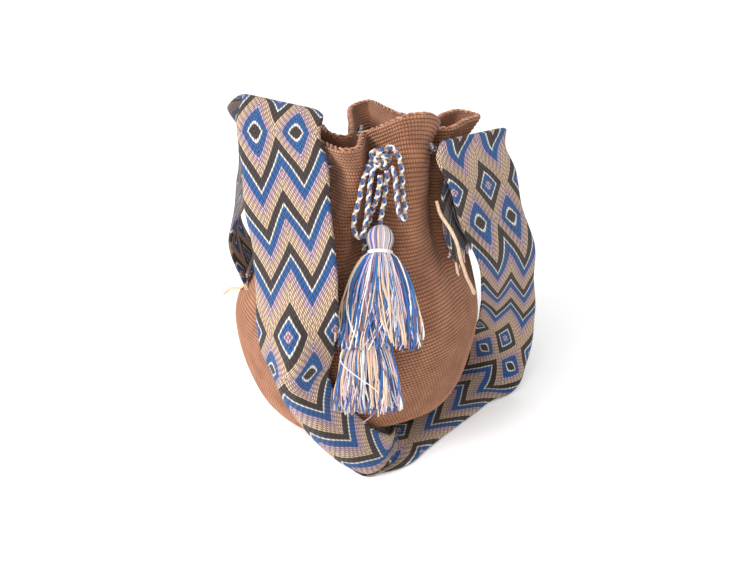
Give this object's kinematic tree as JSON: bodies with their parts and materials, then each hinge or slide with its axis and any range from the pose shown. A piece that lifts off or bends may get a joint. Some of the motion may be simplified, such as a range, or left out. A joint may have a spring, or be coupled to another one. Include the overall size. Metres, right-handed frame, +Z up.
{
  "type": "wayuu mochila bag",
  "caption": "Round-bottomed crocheted shoulder bag with a gathered mouth, a braided drawstring tied in front with tassels, and a wide woven strap with zigzags and diamonds",
  "frame": {"origin": "middle of the bag's flat base, on the surface that the bag stands on", "axes": "+Z up, the front with the knot and tassels faces -Y, +X to the viewer's right"},
  "size_m": [0.3528, 0.2883, 0.349],
  "materials": {
    "brown_crochet": "matt crocheted cotton",
    "woven_strap": "matt woven cotton in five colours",
    "tan_yarn": "matt twisted cotton",
    "braided_cord": "matt braided cotton",
    "tassel_strands": "soft cotton strands",
    "white_yarn": "matt cotton yarn"
  },
  "bodies": {
    "root": {"bag_body": "brown_crochet", "shoulder_strap": "woven_strap", "strap_seam_left": "tan_yarn", "strap_seam_right": "tan_yarn", "drawstring": "braided_cord", "drawstring_knot": "braided_cord", "bow_loop_left": "braided_cord", "bow_loop_right": "braided_cord", "tail_upper": "braided_cord", "tail_lower": "braided_cord", "tassel_upper": "tassel_strands", "tassel_upper_binding": "white_yarn", "tassel_lower": "tassel_strands", "tassel_lower_binding": "white_yarn", "tie_left": "tan_yarn", "tie_right": "tan_yarn"}
  },
  "joints": []
}
